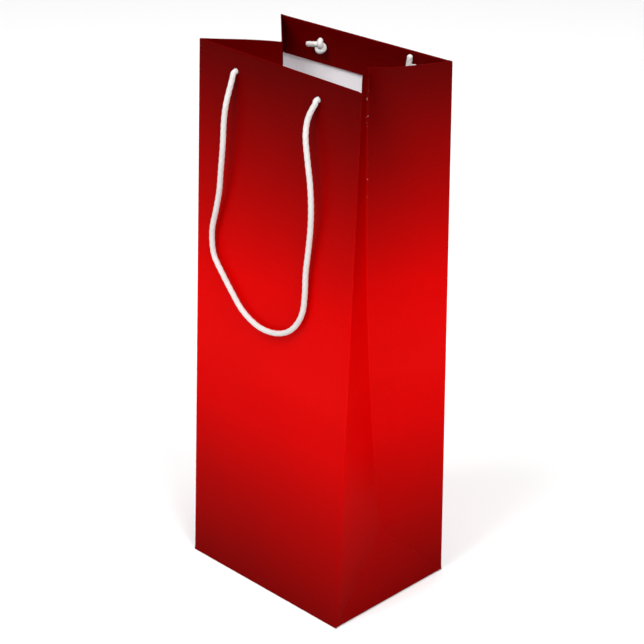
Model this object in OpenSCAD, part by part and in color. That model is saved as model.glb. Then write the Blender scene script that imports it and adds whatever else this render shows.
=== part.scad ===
// Tall paper gift bag for one bottle, standing open with its mouth pinched in.
// Origin: centre of the base on the ground. +Z up, the front wall faces -Y.

/* [Bag] */
// Width of the front and back walls
bag_w = 130; // [120:1:150]
// Depth of the base from front to back
bag_d = 96; // [90:1:104]
// Length of the walls from the base to the mouth
bag_h = 345; // [320:1:380]
// Thickness of the laminated paper
paper_t = 0.3; // [0.2:0.05:0.4]

/* [Mouth] */
// Angle that the front wall leans inward
front_lean = 2.8; // [2:0.1:3.5]
// Angle that the back wall leans inward
back_lean = 1.8; // [1:0.1:2.5]
// How far each side's centre crease dips inward at the mouth
mouth_dip = 30; // [24:1:34]
// How far each side's centre crease dips inward at the top of the base triangle
base_dip = 9; // [6:1:12]

/* [Stiffening] */
// Height of the turned-in hem
hem_h = 24; // [20:0.5:30]
// Thickness of the boards in the hem
top_board_t = 0.9; // [0.6:0.1:1.2]
// Thickness of the loose board on the base
base_board_t = 1; // [0.8:0.1:1.5]
// Distance from the hem and its board to each side edge of the wall
hem_inset = 4; // [4:0.5:8]

/* [Handles] */
// Diameter of the rope
rope_d = 3.4; // [3:0.1:4]
// Diameter of the punched rope holes
hole_d = 4.4; // [4.2:0.1:6]
// Distance between the two rope holes of a wall
hole_span = 65.5; // [60:0.5:76]
// Distance of the rope holes below the mouth
hole_drop = 12.5; // [10:0.5:14]
// Radius of the knots
knot_r = 4.6; // [4:0.1:5]
// Length of the loose tail on each knot, from the knot's centre
knot_tail = 9; // [8:0.5:9]

/* [Hidden] */

$fn = 48;
paper_colour = [0.72, 0.02, 0.02];
inner_colour = [0.93, 0.91, 0.92];
board_colour = [0.78, 0.74, 0.68];
rope_colour = [0.92, 0.89, 0.85];

fold_gap = 0.4;      // clearance between panels on either side of a crease
flap_top = 3 * paper_t;           // top of the three layers of bottom flap
flap_lap = 12;       // how far the front and back flaps pass the middle of the base
flap_side = 40;      // length of the side flaps, under the base board
flap_bevel = 14;     // how much narrower the front and back flaps are at each end of their free edge
side_bevel = 12;     // the same for the side flaps
side_clear = 1;      // the side flaps stay this far inside the front and back walls
seam_w = 12;         // width of the glued side tab
seam_inset = 1;      // the tab stays this far inside the back wall's edge
seam_foot = 6;       // height at which the tab starts
seam_gap = 4;        // the tab ends this far below the hem
hem_face = 2 * paper_t + top_board_t;    // inner face of the hem, from the wall's outer face
hole_h = bag_h - hole_drop;
front_shift = -1;    // the front wall's two holes are this far off its middle
pivot_out = 4;       // the rope turns down this far outside the wall
board_gap_x = 2;     // the base board stays this far from the sides
board_gap_y = 1.5;   // and this far from the front and back walls
board_corner_r = 2;  // radius of the base board's corners
knot_tilt = [[-60, 60], [80, 15]]; // how far each knot's tail turns from upright: front, then back wall
dip_power = 2.6;     // the side creases dip fast near the base and slowly above

// Heights of the rows that make up half a gusset, closer together at the base triangle.
tri_h = bag_d / 2;
rim_gap = 1;         // the gussets end this far below the mouth
hem_rows = [bag_h - hem_h, bag_h - hem_h / 2, bag_h - rim_gap];
gusset_rows = concat([6, 20, 34, tri_h, 80, 120, 165, 210, 255, 300], hem_rows);

// Routes of the two ropes along their walls: [across the wall, drop below the holes,
// distance outside the wall]. The front rope hangs to one side, the back one evenly.
front_route = [[-33.75, 2.2, 4], [-34, 6, 4.4], [-34.6, 12, 5.2], [-35.2, 19.5, 6.2], [-36, 29, 6.8],
               [-37, 44.5, 6.5], [-38.8, 60.5, 6], [-41, 75, 5], [-44.6, 88.5, 4], [-47.8, 100, 3.5],
               [-48.6, 110, 3], [-46.4, 119.5, 3], [-39, 129, 3], [-30.5, 138.5, 3],
               [-22.7, 146.2, 3], [-14, 151, 3], [-5, 153.2, 3], [6, 152.4, 3], [16.2, 148.2, 3],
               [23.7, 141, 3], [28.6, 131, 3], [29.9, 119, 3], [30.5, 105, 3.5], [32.4, 90.5, 4],
               [34.4, 76, 5], [35.2, 62, 6], [34.2, 48, 6.5], [31.8, 34, 6.8], [29.4, 21.5, 6.4],
               [28.6, 13, 5.4], [29.8, 7, 4.4], [31.75, 2.2, 4]];
back_route = [[-32.75, 2.2, 4], [-32.75, 6, 4.8], [-33, 12, 5.8], [-34, 22, 6.8],
              [-34.5, 36, 7], [-36, 50, 6.5], [-38, 64, 6], [-40, 78, 5], [-41, 92, 4],
              [-40, 104, 3.5], [-37.5, 116, 3], [-33.5, 126.5, 3], [-27.5, 136, 3],
              [-19.5, 144, 3], [-10, 149, 3], [0, 151, 3], [10.5, 149, 3], [20.5, 144, 3],
              [29, 136, 3], [35, 126.5, 3], [39, 115, 3], [41, 102, 3.5], [41, 88, 4],
              [39.5, 74, 5], [37.5, 60, 6], [35.5, 46, 6.5], [34.5, 33, 7], [34, 20, 6.8],
              [33, 12, 5.8], [32.75, 6, 4.8], [32.75, 2.2, 4]];

// The walls' own frames: x across, y inward from the outer face, z up along the wall.
module on_front() {
    $hole_shift = front_shift;
    translate([0, -bag_d / 2, 0]) rotate([-front_lean, 0, 0]) children();
}
module on_back() {
    $hole_shift = 0;
    rotate([0, 0, 180]) translate([0, -bag_d / 2, 0]) rotate([-back_lean, 0, 0]) children();
}

// ---- Half a gusset: ruled between the wall's edge and the centre crease ----

function wall_y(half, z) = half < 0 ? -bag_d / 2 + z * tan(front_lean) : bag_d / 2 - z * tan(back_lean);
function dip(z) =
    z < tri_h ? base_dip * z / tri_h
              : mouth_dip - (mouth_dip - base_dip) * pow((bag_h - z) / (bag_h - tri_h), dip_power);
function crease_y(half, z) =
    z < tri_h ? half * (tri_h - z + fold_gap)
              : (wall_y(-1, z) + wall_y(1, z)) / 2 + half * fold_gap;
function edge_point(side, half, z) =
    [side * bag_w / 2, wall_y(half, z) - half * (paper_t + fold_gap), z];
function crease_point(side, half, z) = [side * (bag_w / 2 - dip(z)), crease_y(half, z), z];
// Unit vector into the bag, square to a row of the half gusset.
function row_inward(side, half, z) =
    let (d = crease_point(side, half, z) - edge_point(side, half, z), n = [d[1], -d[0], 0])
    n * (n[0] * side < 0 ? 1 : -1) / norm(n);
// The four corners of a row: outer face first, then the inner face.
function row_corners(side, half, z, near, far) =
    let (e = edge_point(side, half, z), c = crease_point(side, half, z), n = row_inward(side, half, z))
    [e + n * near, c + n * near, c + n * far, e + n * far];

module ruled_sheet(side, half, rows, near, far) {
    last = len(rows) - 1;
    points = [for (z = rows) each row_corners(side, half, z, near, far)];
    // Both faces of the sheet are split along the same diagonal, so they stay apart where it twists.
    around = [for (i = [0 : last - 1]) for (k = [0 : 3])
        let (a = 4 * i + k, b = 4 * i + (k + 1) % 4, c = b + 4, d = a + 4)
        each k == 2 ? [[a, b, d], [b, c, d]] : [[a, b, c], [a, c, d]]];
    ends = [[3, 2, 1, 0], [4 * last, 4 * last + 1, 4 * last + 2, 4 * last + 3]];
    faces = concat(around, ends);
    flipped = [for (f = faces) [for (i = [len(f) - 1 : -1 : 0]) f[i]]];
    polyhedron(points, side * half < 0 ? flipped : faces, convexity = 4);
}

module gusset_half(side, half) {
    color(paper_colour) ruled_sheet(side, half, gusset_rows, 0, paper_t);
}
module gusset_hem(side, half) {
    color(paper_colour) ruled_sheet(side, half, hem_rows, paper_t, 2 * paper_t);
}
module gusset_base(side) {
    lift = flap_top + fold_gap;
    run = tri_h - 1.5 * fold_gap;
    slant = norm([tri_h, base_dip]) / tri_h;
    color(paper_colour) mirror([side < 0 ? 1 : 0, 0, 0])
        translate([bag_w / 2, 0, 0]) rotate([0, -atan2(base_dip, tri_h), 0])
            translate([-paper_t, 0, 0]) rotate([90, 0, 90]) linear_extrude(paper_t)
                polygon([[-run + lift, lift], [run - lift, lift], [0, run * slant]]);
}

// ---- Walls ----

module rope_holes(depth) {
    for (x = [-1, 1] * hole_span / 2)
        translate([$hole_shift + x, -1, hole_h]) rotate([-90, 0, 0]) cylinder(d = hole_d, h = depth + 2);
}
module wall_panel() {
    color(paper_colour) difference() {
        translate([-bag_w / 2, 0, 2 * paper_t + fold_gap])
            cube([bag_w, paper_t, bag_h - 2 * paper_t - fold_gap]);
        rope_holes(paper_t);
    }
}
module top_board() {
    half_w = bag_w / 2 - hem_inset;
    color(board_colour) difference() {
        translate([-half_w, paper_t, bag_h - hem_h])
            cube([2 * half_w, top_board_t, hem_h - paper_t]);
        rope_holes(hem_face);
    }
}
// The turned-in paper: a strip over the board's top edge and a flap down its inner face.
module wall_hem() {
    half_w = bag_w / 2 - hem_inset;
    color(paper_colour) difference() {
        translate([-half_w, 0, bag_h]) rotate([90, 0, 90]) linear_extrude(2 * half_w)
            polygon([[paper_t, 0], [paper_t, -paper_t], [hem_face - paper_t, -paper_t],
                     [hem_face - paper_t, -hem_h], [hem_face, -hem_h], [hem_face, 0]]);
        rope_holes(hem_face);
    }
}
module side_seam_tab() {
    on_back() color(inner_colour)
        translate([bag_w / 2 - seam_w - seam_inset, paper_t, seam_foot])
            cube([seam_w, paper_t, bag_h - hem_h - seam_gap - seam_foot]);
}

// ---- Base ----

module flap_outline(reach, bevel) {
    polygon([[-bag_w / 2 + fold_gap, -bag_d / 2 + fold_gap], [bag_w / 2 - fold_gap, -bag_d / 2 + fold_gap],
             [bag_w / 2 - bevel, reach], [-bag_w / 2 + bevel, reach]]);
}
module bottom_flap_front() {
    color(paper_colour) linear_extrude(paper_t) flap_outline(flap_lap, flap_bevel);
}
// The back flap lies on the ground too, and steps up over the end of the front flap.
module bottom_flap_back() {
    step = flap_lap + fold_gap;
    color(paper_colour) intersection() {
        rotate([0, 0, 180]) linear_extrude(2 * paper_t) flap_outline(flap_lap, flap_bevel);
        translate([-bag_w / 2, 0, 0]) rotate([90, 0, 90]) linear_extrude(bag_w)
            polygon([[bag_d / 2, 0], [bag_d / 2, paper_t], [step + paper_t, paper_t],
                     [step + paper_t, 2 * paper_t], [-bag_d / 2, 2 * paper_t],
                     [-bag_d / 2, paper_t], [step, paper_t], [step, 0]]);
    }
}
module bottom_flap_side(side) {
    color(paper_colour) mirror([side < 0 ? 1 : 0, 0, 0]) translate([0, 0, 2 * paper_t])
        linear_extrude(paper_t)
            polygon([[bag_w / 2 - fold_gap, -bag_d / 2 + side_clear], [bag_w / 2 - fold_gap, bag_d / 2 - side_clear],
                     [bag_w / 2 - flap_side, bag_d / 2 - side_bevel],
                     [bag_w / 2 - flap_side, -bag_d / 2 + side_bevel]]);
}
module base_board() {
    corner_r = board_corner_r;
    half_w = bag_w / 2 - board_gap_x - corner_r;
    half_d = bag_d / 2 - board_gap_y - corner_r;
    color(board_colour) translate([0, 0, flap_top]) difference() {
        translate([-half_w - corner_r, -half_d - corner_r, 0])
            cube([2 * (half_w + corner_r), 2 * (half_d + corner_r), base_board_t]);
        for (x = [-1, 1]) for (y = [-1, 1]) translate([x * half_w, y * half_d, -1])
            difference() {
                translate([x < 0 ? -corner_r - 1 : 0, y < 0 ? -corner_r - 1 : 0, 0])
                    cube([corner_r + 1, corner_r + 1, base_board_t + 2]);
                cylinder(r = corner_r, h = base_board_t + 2);
            }
    }
}

// ---- Handles ----

// A knot inside the wall, its tail, and the rope's run through the hole to its turn.
module knot(x, tail_angle) {
    color(rope_colour) translate([$hole_shift + x, 0, hole_h]) {
        translate([0, -pivot_out, 0]) sphere(d = rope_d);
        translate([0, -pivot_out, 0]) rotate([-90, 0, 0])
            cylinder(d = rope_d, h = pivot_out + hem_face + knot_r);
        translate([0, hem_face + knot_r, 0]) {
            sphere(r = knot_r);
            rotate([0, tail_angle, 0]) cylinder(d = rope_d, h = knot_tail);
        }
    }
}
module rope(route) {
    sides = 8;
    last = len(route) - 1;
    at = [for (p = route) [p[0], -p[2], hole_h - p[1]]];
    ahead = [for (i = [0 : last]) let (d = at[min(i + 1, last)] - at[max(i - 1, 0)])
        i == 0 ? [0, 0, -1] : i == last ? [0, 0, 1] : d / norm(d)];
    points = [for (i = [0 : last]) let (flat = cross(ahead[i], [0, 1, 0]), u = flat / norm(flat),
                                        v = cross(ahead[i], u))
        for (k = [0 : sides - 1]) at[i] + rope_d / 2 * (cos(360 * k / sides) * u + sin(360 * k / sides) * v)];
    around = [for (i = [0 : last - 1]) for (k = [0 : sides - 1]) let (m = (k + 1) % sides, b = sides * i)
        each [[b + k, b + m, b + sides + m], [b + k, b + sides + m, b + sides + k]]];
    ends = [[for (k = [sides - 1 : -1 : 0]) k], [for (k = [0 : sides - 1]) sides * last + k]];
    color(rope_colour) polyhedron(points, concat(around, ends), convexity = 6);
}

on_front() wall_panel();  // front_panel
on_back() wall_panel();  // back_panel
gusset_half(1, -1);  // gusset_right_front
gusset_half(1, 1);  // gusset_right_rear
gusset_half(-1, -1);  // gusset_left_front
gusset_half(-1, 1);  // gusset_left_rear
gusset_base(1);  // gusset_right_base
gusset_base(-1);  // gusset_left_base
on_front() wall_hem();  // hem_front
on_back() wall_hem();  // hem_back
gusset_hem(1, -1);  // hem_right_front
gusset_hem(1, 1);  // hem_right_rear
gusset_hem(-1, -1);  // hem_left_front
gusset_hem(-1, 1);  // hem_left_rear
on_front() top_board();  // top_board_front
on_back() top_board();  // top_board_back
side_seam_tab();
bottom_flap_front();
bottom_flap_back();
bottom_flap_side(1);  // bottom_flap_right
bottom_flap_side(-1);  // bottom_flap_left
base_board();
on_front() knot(-hole_span / 2, knot_tilt[0][0]);  // knot_front_left
on_front() knot(hole_span / 2, knot_tilt[0][1]);  // knot_front_right
on_back() knot(hole_span / 2, knot_tilt[1][0]);  // knot_back_left
on_back() knot(-hole_span / 2, knot_tilt[1][1]);  // knot_back_right
on_front() rope(front_route);  // handle_front
on_back() rope(back_route);  // handle_back
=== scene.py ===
"""Looks of a tall red paper gift bag for one bottle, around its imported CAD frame. Metres, +Z up."""
import math

import bpy
from mathutils import Matrix, Vector


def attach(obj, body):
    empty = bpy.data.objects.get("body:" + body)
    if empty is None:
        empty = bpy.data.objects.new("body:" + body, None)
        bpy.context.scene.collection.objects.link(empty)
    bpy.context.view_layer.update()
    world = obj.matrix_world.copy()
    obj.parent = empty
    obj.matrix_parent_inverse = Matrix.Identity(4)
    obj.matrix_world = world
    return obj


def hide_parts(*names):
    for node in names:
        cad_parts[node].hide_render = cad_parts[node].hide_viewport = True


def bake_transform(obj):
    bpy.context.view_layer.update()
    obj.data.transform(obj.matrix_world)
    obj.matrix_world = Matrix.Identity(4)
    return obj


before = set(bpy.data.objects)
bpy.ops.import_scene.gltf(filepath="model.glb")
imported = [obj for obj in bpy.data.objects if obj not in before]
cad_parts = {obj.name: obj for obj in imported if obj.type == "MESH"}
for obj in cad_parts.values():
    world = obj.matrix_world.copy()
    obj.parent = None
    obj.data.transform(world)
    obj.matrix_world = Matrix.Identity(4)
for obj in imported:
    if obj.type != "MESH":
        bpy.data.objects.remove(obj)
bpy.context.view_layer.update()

# ---- Sizes of the bag, as in part.scad ----
HALF_W = 0.065  # half the width of the front and back walls
HALF_D = 0.048  # half the depth of the base, which is also the width of half a gusset
BAG_H = 0.345  # length of the walls, base to mouth
PAPER = 0.0003  # thickness of the laminated paper
HEM_H = 0.024  # height of the turned-in hem
BOARD = 0.0009  # thickness of the boards in the hem
BOARD_HALF_W = 0.061  # half the width of those boards
HOLE_X = 0.03275  # half the distance between the two rope holes of a wall
HOLE_UP = 0.3325  # height of the rope holes up the wall
HOLE_R = 0.0022  # radius of the rope holes
ROPE_R = 0.0017  # radius of the rope
TRIANGLE_H = 0.048  # height of the triangle at the foot of each side
TRIANGLE_DIP = 0.009  # how far that triangle's tip leans in

# Where each wall's top edge ends, left and right, at the mouth: the bag stands a little twisted.
MOUTH = {
    "front": ((-0.0656, -0.0324), (0.0671, -0.0306)),
    "back": ((-0.0641, 0.0326), (0.0674, 0.0432)),
}
OUTWARD = {"front": -1, "back": 1}
HOLE_SHIFT = {"front": -0.001, "back": 0.0}  # how far each pair of holes is from its wall's middle
# Each side's centre crease at the mouth, x and y, and how its inward dip grows up the side.
CREASE_TOP = {-1: (-0.0283, -0.0007), 1: (0.0348, 0.0066)}
CREASE_POWER = {-1: 2.0, 1: 2.3}
CREASE_DROP = {-1: 0.0012, 1: 0.0030}  # how far the dip draws the crease's top end down
# How far each half gusset bows at the mouth, into the bag where positive.
BOW = {("front", 1): 0.0015, ("back", 1): -0.0026, ("front", -1): -0.0014, ("back", -1): 0.0}
WALL_BOW = {"front": 0.0005, "back": -0.0008}

FOLD = 0.0014  # each fold starts to turn this far from its corner
CREASE_FOLD = 0.0014  # and each centre crease this far from its line
FOOT = 0.0008  # the walls turn under into the bottom flaps at this height
BASE_UP = 0.0012  # and the base triangles at this height
ROLL = 0.0007  # the paper rolls over into the hem this far below the mouth
FLANGE = 0.0025  # each half gusset runs on behind its base triangle by this much

PATCH = 0.006  # half the side of the square patch of grid around each rope hole
PATCH_CELLS = 6  # cells along each side of that patch

# ---- Camera ----
AZIMUTH, ELEVATION = 45.3, 26.3  # degrees, round from the front and up
DISTANCE = 1.3664  # from the camera to its aim
AIM_RIGHT, AIM_UP = 0.0031, -0.0017  # the aim, from the middle of the bag
SENSOR, LENS = 36, 125.1  # mm


def add_camera():
    """The camera, at the photo's viewing angle."""
    azimuth, elevation = math.radians(AZIMUTH), math.radians(ELEVATION)
    back = Vector((math.sin(azimuth) * math.cos(elevation),
                   -math.cos(azimuth) * math.cos(elevation), math.sin(elevation)))
    right = Vector((math.cos(azimuth), math.sin(azimuth), 0))
    up = back.cross(right)
    aim = Vector((0, 0, BAG_H / 2)) + AIM_RIGHT * right + AIM_UP * up
    camera = bpy.data.objects.new("camera", bpy.data.cameras.new("camera"))
    camera.data.sensor_width = SENSOR
    camera.data.lens = LENS
    camera.data.clip_start = 0.05
    camera.location = aim + DISTANCE * back
    camera.rotation_mode = "QUATERNION"
    camera.rotation_quaternion = Matrix((right, up, back)).transposed().to_quaternion()
    bpy.context.scene.collection.objects.link(camera)
    bpy.context.scene.camera = camera


# ---- Where the paper goes ----
def corner(wall, side, up):
    """The fold between a wall and the gusset on that side, up along the wall."""
    x, y = MOUTH[wall][0 if side < 0 else 1]
    over = Vector((x - side * HALF_W, y - OUTWARD[wall] * HALF_D, 0))
    rise = math.sqrt(BAG_H ** 2 - over.length_squared)
    foot = Vector((side * HALF_W, OUTWARD[wall] * HALF_D, 0))
    return foot + (over + Vector((0, 0, rise))) * (up / BAG_H)


def crease(wall, side, up):
    """The inner fold of a half gusset: the base triangle's edge, then the side's centre crease."""
    if up < TRIANGLE_H:
        dip = TRIANGLE_DIP * up / TRIANGLE_H
        return Vector((side * (HALF_W - dip), OUTWARD[wall] * (TRIANGLE_H - up), up))
    x, y = CREASE_TOP[side]
    full = HALF_W - side * x
    left = (max(BAG_H - up, 0) / (BAG_H - TRIANGLE_H)) ** CREASE_POWER[side]
    dip = full - (full - TRIANGLE_DIP) * left
    share = (up - TRIANGLE_H) / (BAG_H - TRIANGLE_H)
    return Vector((side * (HALF_W - dip), y * share, up - CREASE_DROP[side] * share))


def wall_face(wall, across, up):
    """A point of a wall's outer face."""
    at = corner(wall, -1, up).lerp(corner(wall, 1, up), 0.5 + across / (2 * HALF_W))
    inside = max(0.0, 1 - (across / HALF_W) ** 2) * math.sin(math.pi * min(up / BAG_H, 1) ** 0.8)
    at.y -= OUTWARD[wall] * WALL_BOW[wall] * inside
    return at


def half_face(wall, side, share, up):
    """A point of a half gusset's outer face, share 0 at the wall and 1 at the crease."""
    start, end = corner(wall, side, up), crease(wall, side, up)
    along = end - start
    inward = Vector((-along.y, along.x, 0)).normalized()
    if inward.x * side > 0:
        inward.negate()
    bow = BOW[wall, side] * (up / BAG_H) ** 2.5 * math.sin(math.pi * min(max(share, 0), 1) ** 1.6)
    return start + along * share + inward * bow


def hole_across(wall, side):
    """Where a rope hole is across its wall."""
    return HOLE_SHIFT[wall] + side * HOLE_X


def inward_of(face, a, b, towards):
    """The unit normal of a face at (a, b), on the side that towards points to."""
    step = 0.0005
    run = face(a + step, b) - face(a - step, b)
    rise = face(a, b + step) - face(a, b - step)
    normal = run.cross(rise).normalized()
    return -normal if normal.dot(towards) < 0 else normal


def wall_point(wall, across, up, depth=0.0):
    """A point of a wall, depth inside its outer face."""
    towards = Vector((0, -OUTWARD[wall], 0))
    normal = inward_of(lambda a, b: wall_face(wall, a, b), across, up, towards)
    return wall_face(wall, across, up) + normal * depth


def half_width(wall, side, up):
    """The width of a half gusset."""
    return (crease(wall, side, up) - corner(wall, side, up)).length


def half_normal(wall, side, share, up):
    """The inward normal of a half gusset, taken a little above its foot where it runs to a point."""
    towards = Vector((-side, 0, 0))
    step_up = max(up, BASE_UP)
    return inward_of(lambda a, b: half_face(wall, side, a, b), share, step_up, towards)


def half_point(wall, side, share, up, depth=0.0):
    """A point of a half gusset, depth inside its outer face."""
    return half_face(wall, side, share, up) + half_normal(wall, side, share, up) * depth


def rounded(start, middle, end, share):
    """A point of the soft curve from start to end that turns at middle."""
    return start.lerp(middle, share).lerp(middle.lerp(end, share), share)


def mitre(at, normal_a, normal_b, depth):
    """The point that is depth inside both faces of a fold at a point."""
    return at + (normal_a + normal_b) * (depth / (1 + normal_a.dot(normal_b)))


def fold_start(wall, side, up):
    """How far round the corner the fold ends: less near the foot, where the gusset is narrow."""
    return min(FOLD, 0.4 * half_width(wall, side, up))


def around_corner(wall, side, share, up, depth):
    """A point of the fold between a wall and a gusset, share 0 on the wall and 1 on the gusset."""
    near = side * (HALF_W - FOLD)
    far = fold_start(wall, side, up) / half_width(wall, side, up)
    wall_in = wall_point(wall, near, up, 1) - wall_point(wall, near, up, 0)
    half_in = half_normal(wall, side, far, up)
    turn = mitre(corner(wall, side, up), wall_in, half_in, depth)
    return rounded(wall_point(wall, near, up, depth), turn, half_point(wall, side, far, up, depth), share)


def panel_point(wall, across, up, depth=0.0):
    """A point of a wall with the folds at its two side edges. Past the last flat column it goes round."""
    flat = HALF_W - FOLD
    if abs(across) <= flat:
        return wall_point(wall, across, up, depth)
    side = 1 if across > 0 else -1
    return around_corner(wall, side, (abs(across) - flat) / (2 * FOLD), up, depth)


def crease_start(up):
    """How far from the centre crease a half gusset starts to turn: sharper near the base triangle."""
    return CREASE_FOLD * min(1, 0.3 + (up - TRIANGLE_H) / 0.04)


def gusset_point(wall, side, column, up, depth=0.0):
    """A point of a half gusset: column 0 to 1 across its flat part, then 1 to 2 into its inner fold."""
    width = half_width(wall, side, up)
    first = fold_start(wall, side, up) / width
    if up < TRIANGLE_H:
        flange = FLANGE * min(1, 0.2 + (TRIANGLE_H - up) / 0.01) * min(1, up / 0.006)
        share = first + (1 - first) * min(column, 1) + flange / width * max(column - 1, 0)
        return half_point(wall, side, share, up, depth)
    turn = crease_start(up) / width
    if column <= 1:
        return half_point(wall, side, first + (1 - first - turn) * column, up, depth)
    other = "back" if wall == "front" else "front"
    other_turn = crease_start(up) / half_width(other, side, up)
    own_in = half_normal(wall, side, 1 - turn, up)
    other_in = half_normal(other, side, 1 - other_turn, up)
    middle = mitre(crease(wall, side, up), own_in, other_in, depth)
    return rounded(half_point(wall, side, 1 - turn, up, depth), middle,
                   half_point(other, side, 1 - other_turn, up, depth), (column - 1) / 2)


# ---- Meshes ----
def steps(low, high, count):
    """Evenly spaced numbers from low to high, with count gaps."""
    return [low + (high - low) * i / count for i in range(count + 1)]


def add_hole(points, faces, x, y):
    """Fills a square patch with rings of quads that go from its edge to a round hole."""
    side = steps(-PATCH, PATCH, PATCH_CELLS)[:-1]
    edge = ([(s, -PATCH) for s in side] + [(PATCH, s) for s in side]
            + [(-s, PATCH) for s in side] + [(-PATCH, -s) for s in side])
    index = {(round(a, 6), round(b, 6)): i for i, (a, b) in enumerate(points)}
    ring = [index[round(x + a, 6), round(y + b, 6)] for a, b in edge]
    for share in (0.4, 0.75, 1.0):
        inner = []
        for a, b in edge:
            out = math.hypot(a, b)
            scale = (1 - share) + share * HOLE_R / out
            points.append((x + a * scale, y + b * scale))
            inner.append(len(points) - 1)
        for i in range(len(ring)):
            j = (i + 1) % len(ring)
            faces.append((ring[i], ring[j], inner[j], inner[i]))
        ring = inner


def flat_grid(columns, rows, holes=()):
    """Points and faces of a flat grid, with a round hole of quads in each square patch around a hole."""
    points = [(a, b) for b in rows for a in columns]
    wide = len(columns)
    faces = []
    for j in range(len(rows) - 1):
        for i in range(wide - 1):
            middle = ((columns[i] + columns[i + 1]) / 2, (rows[j] + rows[j + 1]) / 2)
            if any(max(abs(middle[0] - x), abs(middle[1] - y)) < PATCH for x, y in holes):
                continue
            at = j * wide + i
            faces.append((at, at + 1, at + 1 + wide, at + wide))
    for x, y in holes:
        add_hole(points, faces, x, y)
    return points, faces


def rim_edges(faces):
    """The edges that only one face has, each in its face's direction."""
    seen = {}
    for f in faces:
        for i in range(len(f)):
            edge = (f[i], f[(i + 1) % len(f)])
            key = tuple(sorted(edge))
            seen[key] = None if key in seen else edge
    return [e for e in seen.values() if e]


def finish_mesh(name, points, faces, materials, slots, sharp=40):
    """An object from points and faces, smooth except at edges sharper than that many degrees."""
    mesh = bpy.data.meshes.new(name)
    mesh.from_pydata([tuple(p) for p in points], [], faces)
    for made in materials:
        mesh.materials.append(made)
    mesh.polygons.foreach_set("material_index", slots)
    mesh.validate()
    mesh.shade_smooth()
    mesh.set_sharp_from_angle(angle=math.radians(sharp))
    piece = bpy.data.objects.new(name, mesh)
    bpy.context.scene.collection.objects.link(piece)
    return piece


def solid_sheet(name, flat, outer, inner, materials, wear=None, lined=1.0):
    """A closed sheet. Each flat point is placed on its outer face and on its inner face.
    The first material is on the outer face and the edges, and the second on the inner face.
    Above the height lined the inner face, under the hem, has the first too."""
    flat_points, flat_faces = flat
    count = len(flat_points)
    points = [outer(a, b) for a, b in flat_points] + [inner(a, b) for a, b in flat_points]
    faces = list(flat_faces) + [tuple(i + count for i in reversed(f)) for f in flat_faces]
    slots = [0] * len(flat_faces)
    slots += [0 if min(flat_points[i][1] for i in f) > lined else 1 for f in flat_faces]
    for a, b in rim_edges(flat_faces):
        faces.append((b, a, a + count, b + count))
        slots.append(0)
    piece = finish_mesh(name, points, faces, materials, slots)
    make_outward(piece)
    if wear:
        shares = [wear(a, b) for a, b in flat_points] * 2
        piece.data.attributes.new("wear", "FLOAT", "POINT").data.foreach_set("value", shares)
    return piece


def make_outward(piece):
    """Turns every face of a closed mesh outward, if its volume comes out negative."""
    mesh = piece.data
    volume = 0.0
    for face in mesh.polygons:
        corners = [mesh.vertices[i].co for i in face.vertices]
        for i in range(1, len(corners) - 1):
            volume += corners[0].dot(corners[i].cross(corners[i + 1]))
    if volume < 0:
        mesh.flip_normals()


# ---- Ropes ----
# Routes along the walls: across the wall, drop below the holes, distance outside the wall.
FRONT_ROUTE = [
    (-0.03375, 0.0022, 0.0023), (-0.034, 0.006, 0.0032), (-0.0346, 0.012, 0.0046),
    (-0.0352, 0.0195, 0.0062), (-0.036, 0.029, 0.0068), (-0.037, 0.0445, 0.0065),
    (-0.0388, 0.0605, 0.006), (-0.041, 0.075, 0.005), (-0.0446, 0.0885, 0.004), (-0.0478, 0.1, 0.0035),
    (-0.0486, 0.11, 0.003), (-0.0464, 0.1195, 0.003), (-0.039, 0.129, 0.003), (-0.0305, 0.1385, 0.003),
    (-0.0227, 0.1462, 0.003), (-0.014, 0.151, 0.003), (-0.005, 0.1532, 0.003), (0.006, 0.1524, 0.003),
    (0.0162, 0.1482, 0.003), (0.0237, 0.141, 0.003), (0.0286, 0.131, 0.003), (0.0299, 0.119, 0.003),
    (0.0305, 0.105, 0.0035), (0.0324, 0.0905, 0.004), (0.0344, 0.076, 0.005), (0.0352, 0.062, 0.006),
    (0.0342, 0.048, 0.0065), (0.0318, 0.034, 0.0068), (0.0294, 0.0215, 0.0064),
    (0.0286, 0.013, 0.0048), (0.0298, 0.007, 0.0035), (0.03175, 0.0022, 0.0023)]
BACK_ROUTE = [
    (-0.03275, 0.0022, 0.0023), (-0.03275, 0.006, 0.0032), (-0.033, 0.012, 0.0046),
    (-0.034, 0.022, 0.0068), (-0.0345, 0.036, 0.007), (-0.036, 0.05, 0.0065), (-0.038, 0.064, 0.006),
    (-0.04, 0.078, 0.005), (-0.041, 0.092, 0.004), (-0.04, 0.104, 0.0035), (-0.0375, 0.116, 0.003),
    (-0.0335, 0.1265, 0.003), (-0.0275, 0.136, 0.003), (-0.0195, 0.144, 0.003), (-0.01, 0.149, 0.003),
    (0.0, 0.151, 0.003), (0.0105, 0.149, 0.003), (0.0205, 0.144, 0.003), (0.029, 0.136, 0.003),
    (0.035, 0.1265, 0.003), (0.039, 0.115, 0.003), (0.041, 0.102, 0.0035), (0.041, 0.088, 0.004),
    (0.0395, 0.074, 0.005), (0.0375, 0.06, 0.006), (0.0355, 0.046, 0.0065), (0.0345, 0.033, 0.007),
    (0.034, 0.02, 0.0068), (0.033, 0.012, 0.0046), (0.03275, 0.006, 0.0032), (0.03275, 0.0022, 0.0023)]
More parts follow.
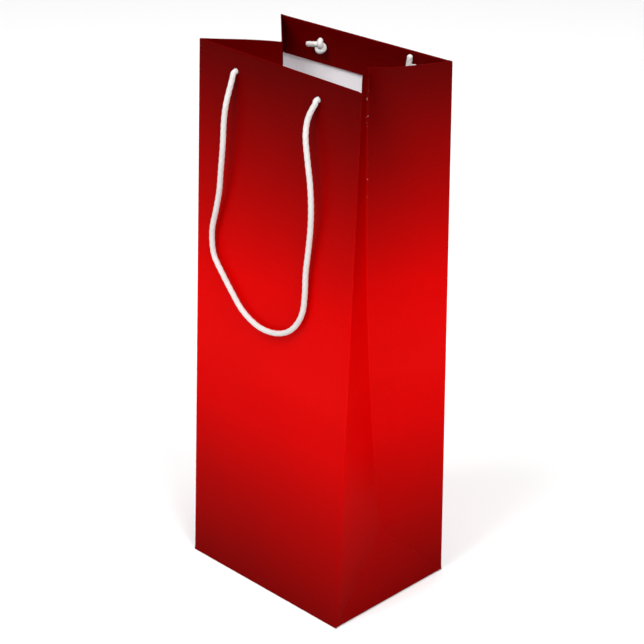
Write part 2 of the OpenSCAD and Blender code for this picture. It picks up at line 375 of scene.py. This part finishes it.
# The rope's way out of a hole: drop below the hole and distance outside the wall.
HOLE_RUN = [(0.0, -0.002), (0.0, 0.0), (0.0001, 0.001), (0.0008, 0.0019)]
ROPE_SIDES = 24
ROPE_STEP = 0.001  # distance between the rope's rings
ROPE_PITCH = 0.013  # length of one turn of its strands
STRANDS = 3
STRAND_R = 0.464  # radius of a strand, as a share of the rope's
GROOVE = 0.2  # how deep the grooves between the strands are, from 0, none, to 1
TAPER = 0.4  # how much wider each ring is than the last one at a narrowed end
CURVE_STEPS = 12  # steps between two points of a route, before they are spaced evenly


def curve_through(points):
    """Close points on a smooth curve through the given points."""
    fine = []
    last = len(points) - 1
    for i in range(last):
        before, a = points[max(i - 1, 0)], points[i]
        b, after = points[i + 1], points[min(i + 2, last)]
        for k in range(CURVE_STEPS):
            t = k / CURVE_STEPS
            fine.append(0.5 * (2 * a + (b - before) * t + (2 * before - 5 * a + 4 * b - after) * t ** 2
                               + (3 * a - before - 3 * b + after) * t ** 3))
    fine.append(points[-1].copy())
    return fine


def smooth_line(points, step):
    """Points about step apart on a smooth curve through the given points, and its length."""
    fine = curve_through(points)
    lengths = [0.0]
    for a, b in zip(fine, fine[1:]):
        lengths.append(lengths[-1] + (b - a).length)
    count = max(2, round(lengths[-1] / step))
    line = []
    at = 0
    for i in range(count + 1):
        want = lengths[-1] * i / count
        while at < len(fine) - 2 and lengths[at + 1] < want:
            at += 1
        gap = lengths[at + 1] - lengths[at]
        line.append(fine[at].lerp(fine[at + 1], (want - lengths[at]) / gap if gap else 0))
    return line, lengths[-1]


def strand_radius(angle):
    """The outline of three twisted strands, softened, as a share of the rope's radius."""
    turn = 2 * math.pi / STRANDS
    off = (angle + turn / 2) % turn - turn / 2
    out = 1 - STRAND_R
    hard = out * math.cos(off) + math.sqrt(max(0, STRAND_R ** 2 - (out * math.sin(off)) ** 2))
    return 1 - GROOVE + GROOVE * hard


def rope_rings(line, tapers):
    """The points of a twisted rope along a line, ring by ring, and how deep between its strands each one is,
    which masks the painted shade there.
    """
    points = []
    groove_shade = []
    last = len(line) - 1
    side = None
    for i, at in enumerate(line):
        ahead = (line[min(i + 1, last)] - line[max(i - 1, 0)]).normalized()
        if side is None:
            side = ahead.orthogonal().normalized()
        side = (side - ahead * side.dot(ahead)).normalized()
        other = ahead.cross(side)
        width = min(1, tapers[0] + i * TAPER) * min(1, tapers[1] + (last - i) * TAPER)
        for k in range(ROPE_SIDES):
            angle = 2 * math.pi * k / ROPE_SIDES
            share = strand_radius(angle - 2 * math.pi * i * ROPE_STEP / ROPE_PITCH)
            points.append(at + (side * math.cos(angle) + other * math.sin(angle)) * ROPE_R * share * width)
            groove_shade.append((1 - share) / GROOVE)
    return points, groove_shade


def rope_piece(name, line, material, tapers=(1.0, 1.0)):
    """A twisted rope along a line, as one closed tube. tapers are the widths of its two cut ends."""
    points, groove_shade = rope_rings(line, tapers)
    faces = []
    last = len(line) - 1
    for i in range(last):
        for k in range(ROPE_SIDES):
            a = i * ROPE_SIDES + k
            b = i * ROPE_SIDES + (k + 1) % ROPE_SIDES
            faces.append((a, b, b + ROPE_SIDES, a + ROPE_SIDES))
    faces.append(tuple(reversed(range(ROPE_SIDES))))
    faces.append(tuple(last * ROPE_SIDES + k for k in range(ROPE_SIDES)))
    piece = finish_mesh(name, points, faces, [material], [0] * len(faces), sharp=60)
    make_outward(piece)
    # How deep between the strands each point is: the mask of the rope's painted shade.
    piece.data.attributes.new("groove_shade", "FLOAT", "POINT").data.foreach_set("value", groove_shade)
    return piece


def handle(wall, route, material):
    """The rope outside a wall, from just inside one hole to just inside the other."""
    mirror = 1 if wall == "front" else -1
    first, last = route[0][0], route[-1][0]
    whole = ([(first, d, o) for d, o in HOLE_RUN] + route
             + [(last, d, o) for d, o in reversed(HOLE_RUN)])
    points = [wall_point(wall, mirror * a, HOLE_UP - d, -o) for a, d, o in whole]
    line, length = smooth_line(points, ROPE_STEP)
    piece = rope_piece(f"handle_{wall}_rope", line, material)
    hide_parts(f"handle_{wall}")
    return piece, line, length


KNOT_SIZE = 0.0011  # scale of the knot in the wall's plane
KNOT_LIFT = 0.0016  # how far its strands pass over and under each other
KNOT_CUT = 0.7  # where the knot's curve is cut open for the rope and the tail
KNOT_STEPS = 24  # steps along that curve
TAIL_END = 0.55  # width of the tail's cut end
HEM_FACE = 2 * PAPER + BOARD  # the hem's inner face, from the wall's outer face
# Each handle's knots: side, tail's angle in degrees and its length, shift from the hole across and up, and
# -1 to mirror the knot.
FRONT_KNOTS = [(-1, -60, 0.009, (0, 0), 1), (1, 60, 0.009, (0, 0), -1)]
BACK_KNOTS = [(-1, -103, 0.009, (0.0018, 0.001), 1), (1, 5, 0.0085, (0.006, 0.003), -1)]


def knot_curve(tail):
    """An overhand knot that hangs from a hole: across and up in knot sizes, and depth in metres."""
    middle = HEM_FACE + ROPE_R + KNOT_LIFT
    curve = [(0, 0, 0.0012), (0, 0, 0.0022), (0.3, -0.8, 0.0029)]
    for i in range(KNOT_STEPS + 1):
        t = math.pi + KNOT_CUT + (2 * math.pi - 2 * KNOT_CUT) * i / KNOT_STEPS
        curve.append((math.sin(t) + 2 * math.sin(2 * t), math.cos(t) - 2 * math.cos(2 * t),
                      middle + KNOT_LIFT * math.sin(3 * t)))
    for drop in (0.45, 0.75, 1.0):
        curve.append((-1.33, -1.11 - (tail / KNOT_SIZE - 1.11) * drop,
                      middle + KNOT_LIFT * (0.9 - 0.5 * drop)))
    return curve


def knot(wall, side, tail_angle, tail, shift, material, flip=1):
    """An overhand knot inside the wall, shifted a little from its hole, across and up.
    Its tail leaves at tail_angle from upright, to the right."""
    turn = math.radians(180 - tail_angle)
    points = []
    for i, (a, b, depth) in enumerate(knot_curve(tail)):
        a *= flip
        off = min(max(i - 1, 0) / 2, 1)
        across = (a * math.cos(turn) - b * math.sin(turn)) * KNOT_SIZE + shift[0] * off
        up = (a * math.sin(turn) + b * math.cos(turn)) * KNOT_SIZE + shift[1] * off
        points.append(wall_point(wall, hole_across(wall, side) + across, HOLE_UP + up, depth))
    line, _ = smooth_line(points, ROPE_STEP * 0.7)
    name = f"knot_{wall}_{'left' if side < 0 else 'right'}"
    piece = rope_piece(name + "_rope", line, material, tapers=(1.0, TAIL_END))
    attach(piece, f"{wall}_wall")
    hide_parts(name)
    return piece


def add_handle(wall, route, tails, material):
    """A rope handle with its two knots."""
    piece, line, length = handle(wall, route, material)
    knots = [knot(wall, side, angle, tail, shift, material, flip)
             for side, angle, tail, shift, flip in tails]
    hole = wall_point(wall, hole_across(wall, -1), HOLE_UP)
    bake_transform(piece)


# ---- The paper's pieces ----
FOLD_COLUMNS = 5  # columns round a fold
HALF_COLUMNS = 9  # cells across the flat part of a half gusset
UP_ROWS = 48  # rows of cells up the walls and the gussets
WORN_UP, WORN_REACH = 0.295, 0.042  # height and reach of the rubbed part of the right centre crease
SIDES = {"left": -1, "right": 1}
HALF_NAME = {"front": "front", "back": "rear"}


def wall_columns(wall):
    """Columns across a wall: closer round the rope holes and the folds."""
    flat = HALF_W - FOLD
    left, right = hole_across(wall, -1), hole_across(wall, 1)
    patches = [x for at in (left, right) for x in steps(at - PATCH, at + PATCH, PATCH_CELLS)]
    spread = (steps(-flat, left - PATCH, 4)[:-1] + patches + steps(left + PATCH, right - PATCH, 8)[1:-1]
              + steps(right + PATCH, flat, 4)[1:])
    folds = steps(flat, HALF_W + FOLD, FOLD_COLUMNS)[1:]
    ends = [-BOARD_HALF_W, BOARD_HALF_W]
    return sorted([-x for x in folds] + spread + ends + folds)


def wall_rows():
    """Rows up a wall: closer at the foot and round the rope holes."""
    low = HOLE_UP - PATCH
    high = HOLE_UP + PATCH
    return ([FOOT, 0.003, 0.007] + steps(0.012, low, UP_ROWS) + steps(low, high, PATCH_CELLS)[1:]
            + steps(high, BAG_H - ROLL, 2)[1:])


def gusset_rows():
    """Rows up a half gusset: closer at the foot, with two at the base triangle's tip."""
    low = steps(0.011, TRIANGLE_H - 0.001, 9)
    return [FOOT, 0.002, 0.004, 0.007] + low + steps(TRIANGLE_H, BAG_H - ROLL, UP_ROWS)


def add_wall_panel(wall, paper, white):
    """A wall, printed outside and white inside."""
    holes = [(hole_across(wall, side), HOLE_UP) for side in (-1, 1)]
    flat = flat_grid(wall_columns(wall), wall_rows(), holes)
    piece = solid_sheet(f"{wall}_panel_sheet", flat, lambda a, b: panel_point(wall, a, b),
                        lambda a, b: panel_point(wall, a, b, PAPER), [paper, white],
                        lined=BAG_H - HEM_H)
    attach(piece, f"{wall}_wall")
    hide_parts(f"{wall}_panel")


def gusset_columns():
    """Columns of a half gusset, as gusset_point takes them."""
    return steps(0, 1, HALF_COLUMNS) + [1.35, 1.7, 2.0]


def blend_half(piece, wall, side):
    """Bakes the half gusset's placement into its mesh."""
    edge = gusset_point(wall, side, 0, BAG_H).y - OUTWARD[wall] * 0.0001
    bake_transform(piece)


def crease_wear(column, up):
    """How worn the paper is: it is rubbed along the centre crease, in the upper part."""
    away = abs(up - WORN_UP) / WORN_REACH
    return min(1.0, max(0.0, column - 0.95) * 4) * max(0.0, 1 - away ** 4)


def add_gusset_half(wall, side_name, paper, white):
    """A half gusset, between a wall's fold and the side's centre crease."""
    side = SIDES[side_name]
    wear = crease_wear if side_name == "right" else None
    node = f"gusset_{side_name}_{HALF_NAME[wall]}"
    flat = flat_grid(gusset_columns(), gusset_rows())
    piece = solid_sheet(node + "_sheet", flat, lambda a, b: gusset_point(wall, side, a, b),
                        lambda a, b: gusset_point(wall, side, a, b, PAPER), [paper, white],
                        wear=wear, lined=BAG_H - HEM_H)
    blend_half(piece, wall, side)
    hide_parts(node)


def gusset_stack(_):
    """Thickness of the mouth's two layers of paper at the sides."""
    return 2 * PAPER


def stack(across):
    """Thickness of the mouth's stack of paper and board: it thins past the board's ends."""
    past = min(max((abs(across) - BOARD_HALF_W) / (HALF_W - FOLD - BOARD_HALF_W), 0), 1)
    return 2 * PAPER + BOARD * (1 - past)


def hem_place(down, thick, inset):
    """Depth and height of the turned-in paper: down 0 to 1 over the rim, then 1 to 2 down inside."""
    turn = math.pi * min(down, 1)
    depth = thick / 2 - (thick / 2 - inset) * math.cos(turn)
    up = BAG_H - ROLL + (ROLL - inset) * math.sin(turn) - (HEM_H - ROLL) * max(down - 1, 0)
    return depth, up


def hem_rows(holes):
    """Rows of a hem, as hem_place takes them, with or without rope holes."""
    over = steps(0, 1, 8)
    if not holes:
        return over + steps(1, 2, 6)[1:]
    low, high = (1 + (BAG_H - ROLL - HOLE_UP + s * PATCH) / (HEM_H - ROLL) for s in (-1, 1))
    return over + steps(1, low, 2)[1:] + steps(low, high, PATCH_CELLS)[1:] + steps(high, 2, 2)[1:]


def hem_sheet(name, flat, point, thick, paper):
    """A strip of paper that turns over the rim and lies down inside."""
    def place(inset):
        def at(a, down):
            depth, up = hem_place(down, thick(a), inset)
            return point(a, up, depth)
        return at
    return solid_sheet(name, flat, place(0), place(PAPER), [paper, paper])


def add_wall_hem(wall, paper):
    """A wall's hem. Its grid is laid out in metres, so that its holes are round."""
    scale = HEM_H - ROLL
    rows = [r * scale for r in hem_rows(True)]
    middle = (1 + (BAG_H - ROLL - HOLE_UP) / scale) * scale
    holes = [(hole_across(wall, side), middle) for side in (-1, 1)]
    points, faces = flat_grid(wall_columns(wall), rows, holes)
    flat = ([(a, b / scale) for a, b in points], faces)
    piece = hem_sheet(f"hem_{wall}_turn", flat, lambda a, up, depth: panel_point(wall, a, up, depth),
                      stack, paper)
    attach(piece, f"{wall}_wall")
    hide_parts(f"hem_{wall}")


def add_gusset_hem(wall, side_name, paper):
    """A half gusset's hem."""
    side = SIDES[side_name]
    node = f"hem_{side_name}_{HALF_NAME[wall]}"
    flat = flat_grid(gusset_columns(), hem_rows(False))
    piece = hem_sheet(node + "_turn", flat, lambda a, up, depth: gusset_point(wall, side, a, up, depth),
                      gusset_stack, paper)
    blend_half(piece, wall, side)
    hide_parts(node)


BOARD_GAP = 0.00002  # a board is this far from the paper on each of its sides
BOARD_TOP = 0.0005  # and this far below the mouth


def add_top_board(wall, board):
    """The board inside a wall's hem."""
    low, high = HOLE_UP - PATCH, HOLE_UP + PATCH
    rows = steps(BAG_H - HEM_H, low, 1) + steps(low, high, PATCH_CELLS)[1:] + [BAG_H - BOARD_TOP]
    columns = [x for x in wall_columns(wall) if abs(x) <= BOARD_HALF_W]
    flat = flat_grid(columns, rows, [(hole_across(wall, side), HOLE_UP) for side in (-1, 1)])
    piece = solid_sheet(f"top_board_{wall}_card", flat,
                        lambda a, b: wall_point(wall, a, b, PAPER + BOARD_GAP),
                        lambda a, b: wall_point(wall, a, b, PAPER + BOARD - BOARD_GAP), [board, board])
    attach(piece, f"{wall}_wall")
    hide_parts(f"top_board_{wall}")


def add_seam_tab(white):
    """The strip that closes the paper tube, glued inside the back wall's left edge."""
    rows = steps(0.004, BAG_H - HEM_H - 0.003, 40)
    columns = steps(-HALF_W + 0.0012, -HALF_W + 0.013, 6)
    piece = solid_sheet("side_seam_tab_strip", flat_grid(columns, rows),
                        lambda a, b: wall_point("back", a, b, PAPER),
                        lambda a, b: wall_point("back", a, b, 2 * PAPER), [white, white])
    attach(piece, "back_wall")
    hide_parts("side_seam_tab")


# ---- The base ----
SIDE_COLUMNS = 12  # cells across the base triangles and the side flaps
FLAP_COLUMNS = 16  # and across the front and back flaps
WORN_EDGE = 0.001  # the triangles' edges are rubbed about this far in
FLAP_REACH = 0.060  # the front and back flaps' length
FLAP_BEVEL = 0.014  # how much narrower they are at each end of their free edge
LAP_START = 0.0356  # the back flap steps over the front one this far from its fold
LAP_HALF = 0.001  # half the length of that step
SIDE_FLAP = 0.040  # the side flaps' length
SIDE_BEVEL = 0.010  # how much narrower they are at each end of their free edge
FLAP_CLEAR = 0.0004  # the flaps lie this far inside the base's outline
TURN_IN = 0.0012  # the folds of the front and back flaps end this far in, where the side flaps' ends are
SIDE_TURN_IN = 0.001  # the side flaps' folds end this much further in than FLAP_CLEAR
FOLD_RUNS = [-1, -0.75, -0.5, -0.25, 0]  # rows round a flap's fold


def triangle_wear(share, up):
    """How worn a base triangle is: a little, along its two folds."""
    return max(0, 1 - (1 - abs(share)) * (TRIANGLE_H - up) / WORN_EDGE) * 0.5


def add_triangle(side_name, paper, white):
    """The triangle at the foot of a side, between the two halves of its gusset."""
    side = SIDES[side_name]
    normal = Vector((-side * TRIANGLE_H, 0, -TRIANGLE_DIP)).normalized()

    def at(share, up, depth=0.0):
        reach = max(TRIANGLE_H - up, 0.0002)
        x = side * (HALF_W - TRIANGLE_DIP * up / TRIANGLE_H)
        return Vector((x, share * reach, up)) + normal * depth

    rows = [BASE_UP, 0.003] + steps(0.006, TRIANGLE_H, 12)
    piece = solid_sheet(f"gusset_{side_name}_base_sheet", flat_grid(steps(-1, 1, SIDE_COLUMNS), rows),
                        at, lambda a, b: at(a, b, PAPER), [paper, white], wear=triangle_wear)
    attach(piece, "base")
    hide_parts(f"gusset_{side_name}_base")


def flap_height(wall, run):
    """Height of a flap's underside: the back flap lies over the front flap where they meet."""
    if wall == "front":
        return 0.0
    share = min(max((run - LAP_START + LAP_HALF) / (2 * LAP_HALF), 0), 1)
    return PAPER * share * share * (3 - 2 * share)


def add_bottom_flap(wall, paper, white):
    """The flap that turns under the base from a wall."""
    inward = -OUTWARD[wall]
    half_w = HALF_W - FLAP_CLEAR

    def at(across, run, depth=0.0):
        """run is negative round the fold, from -1 on the wall to 0 on the ground."""
        start = wall_point(wall, across * half_w, FOOT, depth)
        ground = Vector((across * half_w, OUTWARD[wall] * (HALF_D - TURN_IN), depth))
        if run < 0:
            return rounded(start, Vector((across * half_w, start.y, ground.z)), ground, run + 1)
        narrow = half_w - FLAP_BEVEL * run / FLAP_REACH
        return Vector((across * narrow, ground.y + inward * run, flap_height(wall, run) + depth))

    runs = FOLD_RUNS + [0.006, 0.014, 0.022, 0.030]
    runs += steps(LAP_START - LAP_HALF, LAP_START + LAP_HALF, 4) + [0.040, 0.047, 0.054, FLAP_REACH]
    piece = solid_sheet(f"bottom_flap_{wall}_sheet", flat_grid(steps(-1, 1, FLAP_COLUMNS), runs), at,
                        lambda a, b: at(a, b, PAPER), [paper, white],
                        wear=lambda a, b: float(-1 < b < 0))
    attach(piece, "base")
    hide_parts(f"bottom_flap_{wall}")


def add_side_flap(side_name, paper, white):
    """The flap that turns under the base from a side's triangle, over the front and back flaps."""
    side = SIDES[side_name]
    under = 2 * PAPER
    half_d = HALF_D - TURN_IN
    fold_x = HALF_W - TRIANGLE_DIP * BASE_UP / TRIANGLE_H
    flat_x = HALF_W - FLAP_CLEAR - SIDE_TURN_IN

    def at(across, run, depth=0.0):
        """run is negative round the fold, from -1 on the base triangle to 0 on the other flaps."""
        if run < 0:
            start = Vector((side * (fold_x - depth), across * half_d, BASE_UP))
            ground = Vector((side * flat_x, across * half_d, under + depth))
            return rounded(start, Vector((start.x, start.y, ground.z)), ground, run + 1)
        narrow = half_d - SIDE_BEVEL * run / SIDE_FLAP
        return Vector((side * (flat_x - run), across * narrow, under + depth))

    runs = FOLD_RUNS + [0.008, 0.016, 0.024, 0.032, SIDE_FLAP]
    flat = flat_grid(steps(-1, 1, SIDE_COLUMNS), runs)
    piece = solid_sheet(f"bottom_flap_{side_name}_sheet", flat, at, lambda a, b: at(a, b, PAPER),
                        [paper, white])
    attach(piece, "base")
    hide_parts(f"bottom_flap_{side_name}")


# ---- Materials ----
# The printed fade, from the foot to the mouth: share of the height, then screen brightness of red and of
# green and blue.
FADE = [(0.0, 0.50, 0.0), (0.325, 0.85, 0.005), (0.44, 0.895, 0.04), (0.53, 0.895, 0.03),
        (0.60, 0.875, 0.005), (1.0, 0.37, 0.0)]
FADE_GAIN = 0.84  # the red is multiplied by this, to suit the studio light
WORN_PRINT = (0.75, 0.66, 0.66, 1)
WHITE_TONES = ((0.86, 0.83, 0.86, 1), (0.90, 0.885, 0.90, 1))
WHITE_FIBRE = (0.66, 0.62, 0.62, 1)
BOARD_TONES = ((0.42, 0.39, 0.35, 1), (0.52, 0.49, 0.44, 1))
BOARD_FLECK = (0.16, 0.14, 0.13, 1)
ROPE_TONES = ((0.51, 0.495, 0.485, 1), (0.56, 0.545, 0.535, 1))
ROPE_FIBRE = (0.60, 0.56, 0.53, 1)
# Painted shade, for the rope between its strands.
ROPE_GROOVE_SHADE = (0.52, 0.47, 0.43, 1)


def new_material(name):
    """A material, its node tree and its shader."""
    made = bpy.data.materials.new(name)
    made.use_nodes = True
    return made, made.node_tree, made.node_tree.nodes["Principled BSDF"]


def add_node(tree, kind, values=None, **settings):
    """A node with its properties and the values of its inputs set."""
    node = tree.nodes.new(kind)
    for key, value in settings.items():
        setattr(node, key, value)
    for key, value in (values or {}).items():
        node.inputs[key].default_value = value
    return node


def noise(tree, place, scale, detail=3.0, roughness=0.5):
    """Soft noise at a place. The scale is roughly its number of blotches to the metre."""
    node = add_node(tree, "ShaderNodeTexNoise", {"Scale": scale, "Detail": detail, "Roughness": roughness})
    tree.links.new(place, node.inputs["Vector"])
    return node.outputs["Fac"]


def remap(tree, value, low, high, new_low, new_high):
    """A value moved from one range to another, and kept inside it."""
    node = add_node(tree, "ShaderNodeMapRange",
                    {"From Min": low, "From Max": high, "To Min": new_low, "To Max": new_high})
    tree.links.new(value, node.inputs["Value"])
    return node.outputs["Result"]


def math_node(tree, operation, a, b):
    """A sum or product of two numbers or outputs."""
    node = add_node(tree, "ShaderNodeMath", operation=operation)
    for socket, value in zip(node.inputs, (a, b)):
        if isinstance(value, (int, float)):
            socket.default_value = value
        else:
            tree.links.new(value, socket)
    return node.outputs["Value"]


def mix_colour(tree, share, a, b, blend="MIX"):
    """Colour a with a share of colour b."""
    node = add_node(tree, "ShaderNodeMix", data_type="RGBA", blend_type=blend)
    for socket, value in ((node.inputs["Factor"], share), (node.inputs["A"], a), (node.inputs["B"], b)):
        if isinstance(value, (int, float, tuple)):
            socket.default_value = value
        else:
            tree.links.new(value, socket)
    return node.outputs["Result"]


def bump(tree, height, distance, strength, after=None):
    """Relief from a height, on top of an earlier relief if there is one."""
    node = add_node(tree, "ShaderNodeBump", {"Distance": distance, "Strength": strength})
    tree.links.new(height, node.inputs["Height"])
    if after:
        tree.links.new(after, node.inputs["Normal"])
    return node.outputs["Normal"]


def clouded(tree, cloud, tones):
    """A colour that drifts between two tones with a soft noise."""
    return mix_colour(tree, remap(tree, cloud, 0.3, 0.7, 0, 1), tones[0], tones[1])


def printed_fade(tree, place):
    """The print's colour by height."""
    parts = add_node(tree, "ShaderNodeSeparateXYZ")
    tree.links.new(place, parts.inputs["Vector"])
    share = remap(tree, parts.outputs["Z"], 0, BAG_H, 0, 1)
    ramp = add_node(tree, "ShaderNodeValToRGB")
    tree.links.new(share, ramp.inputs["Fac"])
    stops = ramp.color_ramp.elements
    while len(stops) < len(FADE):
        stops.new(0.5)
    for stop, (at, red, rest) in zip(stops, FADE):
        stop.position = at
        stop.color = (red * FADE_GAIN, rest, rest, 1)
    gamma = add_node(tree, "ShaderNodeGamma", {"Gamma": 2.2})
    tree.links.new(ramp.outputs["Color"], gamma.inputs["Color"])
    return gamma.outputs["Color"]


def printed_paper():
    """Red print under a thin film: faint mottling, orange peel, cockle, and pale specks where it is worn."""
    made, tree, shader = new_material("printed_paper")
    place = add_node(tree, "ShaderNodeTexCoord").outputs["Object"]
    colour = printed_fade(tree, place)
    mottle = remap(tree, noise(tree, place, 700), 0.3, 0.7, 0.97, 1.03)
    cloud = remap(tree, noise(tree, place, 22, 2), 0.3, 0.7, 0.975, 1.025)
    both = math_node(tree, "MULTIPLY", mottle, cloud)
    colour = mix_colour(tree, 1.0, colour, both, "MULTIPLY")
    wear = add_node(tree, "ShaderNodeAttribute", attribute_name="wear").outputs["Fac"]
    specks = remap(tree, noise(tree, place, 750, 3, 0.6), 0.675, 0.70, 0, 1)
    worn = math_node(tree, "MULTIPLY", specks, remap(tree, wear, 0.4, 0.9, 0, 1))
    colour = mix_colour(tree, worn, colour, WORN_PRINT)
    tree.links.new(colour, shader.inputs["Base Color"])
    film = remap(tree, noise(tree, place, 90, 3), 0.3, 0.7, 0.30, 0.40)
    scuffed = math_node(tree, "MULTIPLY", worn, 0.4)
    tree.links.new(math_node(tree, "ADD", film, scuffed), shader.inputs["Roughness"])
    shader.inputs["Specular IOR Level"].default_value = 0
    shader.inputs["Coat Weight"].default_value = 0.04
    shader.inputs["Coat Roughness"].default_value = 0.3
    peel = bump(tree, noise(tree, place, 1400, 2), 0.00003, 0.5)
    cockle = bump(tree, noise(tree, place, 28, 2, 0.4), 0.0006, 0.35, peel)
    tree.links.new(cockle, shader.inputs["Normal"])
    return made


def white_paper():
    """The paper's bare inner face: matt white with short fibres."""
    made, tree, shader = new_material("white_paper")
    place = add_node(tree, "ShaderNodeTexCoord").outputs["Object"]
    fibres = noise(tree, place, 1600, 5, 0.65)
    cloud = noise(tree, place, 60, 3)
    tone = clouded(tree, cloud, WHITE_TONES)
    tone = mix_colour(tree, remap(tree, fibres, 0.35, 0.65, 0.12, 0), tone, WHITE_FIBRE)
    tree.links.new(tone, shader.inputs["Base Color"])
    tree.links.new(remap(tree, fibres, 0.3, 0.7, 0.72, 0.9), shader.inputs["Roughness"])
    shader.inputs["Specular IOR Level"].default_value = 0.2
    tree.links.new(bump(tree, fibres, 0.00006, 0.6), shader.inputs["Normal"])
    return made


def grey_board():
    """Grey chipboard with darker flecks and a coarse felt-like surface."""
    made, tree, shader = new_material("grey_board")
    place = add_node(tree, "ShaderNodeTexCoord").outputs["Object"]
    pulp = noise(tree, place, 900, 6, 0.7)
    cloud = noise(tree, place, 120, 4)
    tone = clouded(tree, cloud, BOARD_TONES)
    flecks = remap(tree, noise(tree, place, 2200, 3, 0.8), 0.62, 0.72, 0, 0.6)
    tone = mix_colour(tree, flecks, tone, BOARD_FLECK)
    tree.links.new(tone, shader.inputs["Base Color"])
    tree.links.new(remap(tree, pulp, 0.3, 0.7, 0.8, 0.95), shader.inputs["Roughness"])
    shader.inputs["Specular IOR Level"].default_value = 0.2
    tree.links.new(bump(tree, pulp, 0.0001, 0.7), shader.inputs["Normal"])
    return made


def cotton_rope():
    """Soft off-white rope: fine fibres, and painted shade where its strands meet."""
    made, tree, shader = new_material("cotton_rope")
    place = add_node(tree, "ShaderNodeTexCoord").outputs["Object"]
    groove_shade = add_node(tree, "ShaderNodeAttribute", attribute_name="groove_shade").outputs["Fac"]
    fibres = noise(tree, place, 2600, 4, 0.6)
    cloud = noise(tree, place, 150, 3)
    tone = clouded(tree, cloud, ROPE_TONES)
    tone = mix_colour(tree, remap(tree, fibres, 0.35, 0.65, 0.18, 0), tone, ROPE_FIBRE)
    # Painted shade: the rope is darker where its strands meet.
    tone = mix_colour(tree, remap(tree, groove_shade, 0.25, 0.75, 0, 0.35), tone, ROPE_GROOVE_SHADE)
    tree.links.new(tone, shader.inputs["Base Color"])
    tree.links.new(remap(tree, fibres, 0.3, 0.7, 0.75, 0.95), shader.inputs["Roughness"])
    shader.inputs["Specular IOR Level"].default_value = 0.25
    shader.inputs["Sheen Weight"].default_value = 0.25
    shader.inputs["Sheen Roughness"].default_value = 0.5
    tree.links.new(bump(tree, fibres, 0.00012, 0.8), shader.inputs["Normal"])
    return made


# ---- Floor and light ----
FLOOR_REACH = 4.0  # half the floor's side
# Each light's name, place, size and power in watts. They all point at the middle of the bag.
LIGHTS = [("key", (-0.2, -1.4, 2.2), 1.4, 46), ("fill", (1.65, -0.35, 1.9), 1.4, 44),
          ("top", (0.1, 0.4, 2.4), 1.6, 14)]
SKY = 0.45  # strength of the white light from all round


def add_floor():
    """A plain pale floor."""
    made, _, shader = new_material("pale_floor")
    shader.inputs["Base Color"].default_value = (0.86, 0.86, 0.86, 1)
    shader.inputs["Roughness"].default_value = 0.9
    shader.inputs["Specular IOR Level"].default_value = 0.1
    lines = steps(-FLOOR_REACH, FLOOR_REACH, 8)
    points, faces = flat_grid(lines, lines)
    floor = finish_mesh("floor", [(a, b, 0) for a, b in points], faces, [made], [0] * len(faces))


def add_area_light(name, at, aim, size, power):
    """A soft round light."""
    light = bpy.data.objects.new(name, bpy.data.lights.new(name, "AREA"))
    light.data.shape = "DISK"
    light.data.size = size
    light.data.energy = power
    light.location = at
    light.rotation_mode = "QUATERNION"
    light.rotation_quaternion = (Vector(aim) - Vector(at)).to_track_quat("-Z", "Y")
    bpy.context.scene.collection.objects.link(light)


def add_light():
    """Soft studio light."""
    for name, at, size, power in LIGHTS:
        add_area_light(name, at, (0, 0, BAG_H / 2), size, power)
    world = bpy.data.worlds.new("studio")
    world.use_nodes = True
    world.node_tree.nodes["Background"].inputs["Color"].default_value = (1, 1, 1, 1)
    world.node_tree.nodes["Background"].inputs["Strength"].default_value = SKY
    bpy.context.scene.world = world
    bpy.context.scene.view_settings.view_transform = "Standard"


# ---- The bag ----
add_camera()
rope = cotton_rope()
add_handle("front", FRONT_ROUTE, FRONT_KNOTS, rope)
add_handle("back", BACK_ROUTE, BACK_KNOTS, rope)

red = printed_paper()
bare = white_paper()
card = grey_board()
for wall in ("front", "back"):
    add_wall_panel(wall, red, bare)
    add_wall_hem(wall, red)
    add_top_board(wall, card)
    add_bottom_flap(wall, red, bare)
    for side_name in SIDES:
        add_gusset_half(wall, side_name, red, bare)
        add_gusset_hem(wall, side_name, red)
for side_name in SIDES:
    add_triangle(side_name, red, bare)
    add_side_flap(side_name, red, bare)
add_seam_tab(bare)
# The CAD's base board is kept as it is, with a better material.
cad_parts["base_board"].data.materials[0] = card

add_floor()
add_light()
